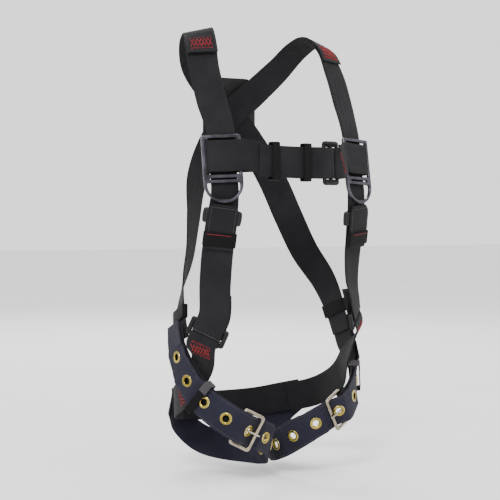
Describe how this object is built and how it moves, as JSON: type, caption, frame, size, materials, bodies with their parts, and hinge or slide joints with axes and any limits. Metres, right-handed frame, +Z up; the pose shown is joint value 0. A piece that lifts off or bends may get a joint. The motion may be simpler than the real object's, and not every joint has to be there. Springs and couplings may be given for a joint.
{
  "type": "safety harness",
  "caption": "Full-body fall-arrest harness in its worn shape, with chest strap, side rings, dorsal D-ring, adjusters and grommeted leg loops with tongue buckles.",
  "frame": {"origin": "on the wearer's centre line at crotch height, where the wearer's trunk holds the harness up", "axes": "+Z up along the wearer's trunk, -Y the way the wearer faces, +X to the wearer's left"},
  "size_m": [0.3062, 0.2367, 0.6528],
  "materials": {
    "webbing": "woven polyester, matt charcoal black",
    "leg_webbing": "woven polyester, very dark navy",
    "keeper_band": "matt elastic and rubber",
    "keeper_plastic": "moulded, fine grain",
    "gunmetal": "dark plated forged steel",
    "black_metal": "black coated steel",
    "nickel": "polished plating with a warm tint",
    "brass": "polished brass eyelets"
  },
  "bodies": {
    "webbing_assembly": {"torso_strap_left": "webbing", "torso_strap_right": "webbing", "hip_strap_left": "webbing", "hip_strap_right": "webbing", "leg_buckle_strap_left": "webbing", "leg_buckle_strap_right": "webbing", "back_strap_left": "webbing", "back_strap_right": "webbing", "seat_strap": "webbing", "chest_strap_right": "webbing", "chest_loop_left": "webbing", "leg_strap_left": "leg_webbing", "leg_strap_right": "leg_webbing", "back_keeper_left": "keeper_band", "back_keeper_right": "keeper_band", "lanyard_keeper_slider_left": "keeper_plastic", "lanyard_keeper_slider_right": "keeper_plastic", "dorsal_plate": "keeper_plastic", "chest_ring_left": "gunmetal", "chest_ring_right": "gunmetal", "chest_buckle": "black_metal", "adjuster_frame_left": "black_metal", "adjuster_frame_right": "black_metal", "adjuster_bar_left": "black_metal", "adjuster_bar_right": "black_metal", "leg_buckle_left": "nickel", "leg_buckle_right": "nickel", "grommet_1_left": "brass", "grommet_2_left": "brass", "grommet_3_left": "brass", "grommet_4_left": "brass", "grommet_5_left": "brass", "grommet_6_left": "brass", "grommet_7_left": "brass", "grommet_8_left": "brass", "grommet_1_right": "brass", "grommet_2_right": "brass", "grommet_3_right": "brass", "grommet_4_right": "brass", "grommet_5_right": "brass", "grommet_6_right": "brass", "grommet_7_right": "brass", "grommet_8_right": "brass"},
    "dorsal_ring": {"dorsal_d_ring": "gunmetal"},
    "tongue_left": {"buckle_tongue_left": "nickel"},
    "tongue_right": {"buckle_tongue_right": "nickel"},
    "lanyard_flap_left": {"lanyard_keeper_flap_left": "webbing", "lanyard_keeper_tab_left": "keeper_band"},
    "lanyard_flap_right": {"lanyard_keeper_flap_right": "webbing", "lanyard_keeper_tab_right": "keeper_band"},
    "inner_chest_band": {"chest_keeper_inner": "keeper_band"},
    "outer_chest_band": {"chest_keeper_outer": "keeper_band"},
    "leg_band_left": {"leg_keeper_left": "keeper_band"},
    "leg_band_right": {"leg_keeper_right": "keeper_band"}
  },
  "joints": [
    {"name": "dorsal_ring_swing", "type": "hinge", "parent": "webbing_assembly", "child": "dorsal_ring", "pos_m": [0, 0.1206, 0.494], "axis": [1, 0, 0], "range_deg": [0, 165]},
    {"name": "tongue_lift_left", "type": "hinge", "parent": "webbing_assembly", "child": "tongue_left", "pos_m": [0.08924, -0.07935, 0.03716], "axis": [-0.4821, -0.1548, 0.8623], "range_deg": [0, 2]},
    {"name": "tongue_lift_right", "type": "hinge", "parent": "webbing_assembly", "child": "tongue_right", "pos_m": [-0.08955, -0.07927, 0.01849], "axis": [-0.4387, 0.1513, -0.8858], "range_deg": [0, 2]},
    {"name": "lanyard_flap_lift_left", "type": "hinge", "parent": "webbing_assembly", "child": "lanyard_flap_left", "pos_m": [0.11372, -0.08341, 0.33211], "axis": [-0.9373, -0.3299, -0.1122], "range_deg": [0, 75]},
    {"name": "lanyard_flap_lift_right", "type": "hinge", "parent": "webbing_assembly", "child": "lanyard_flap_right", "pos_m": [-0.11372, -0.08341, 0.33211], "axis": [-0.9373, 0.3299, 0.1122], "range_deg": [0, 75]},
    {"name": "inner_chest_band_slide", "type": "slide", "parent": "webbing_assembly", "child": "inner_chest_band", "axis": [1, 0, 0], "range_m": [-0.004, 0.004]},
    {"name": "outer_chest_band_slide", "type": "slide", "parent": "webbing_assembly", "child": "outer_chest_band", "axis": [1, 0, 0], "range_m": [-0.004, 0.004]},
    {"name": "leg_band_slide_left", "type": "slide", "parent": "webbing_assembly", "child": "leg_band_left", "axis": [0.4556, 0.6346, 0.6243], "range_m": [-0.003, 0.003]},
    {"name": "leg_band_slide_right", "type": "slide", "parent": "webbing_assembly", "child": "leg_band_right", "axis": [-0.4388, 0.5925, 0.6756], "range_m": [-0.003, 0.003]}
  ]
}
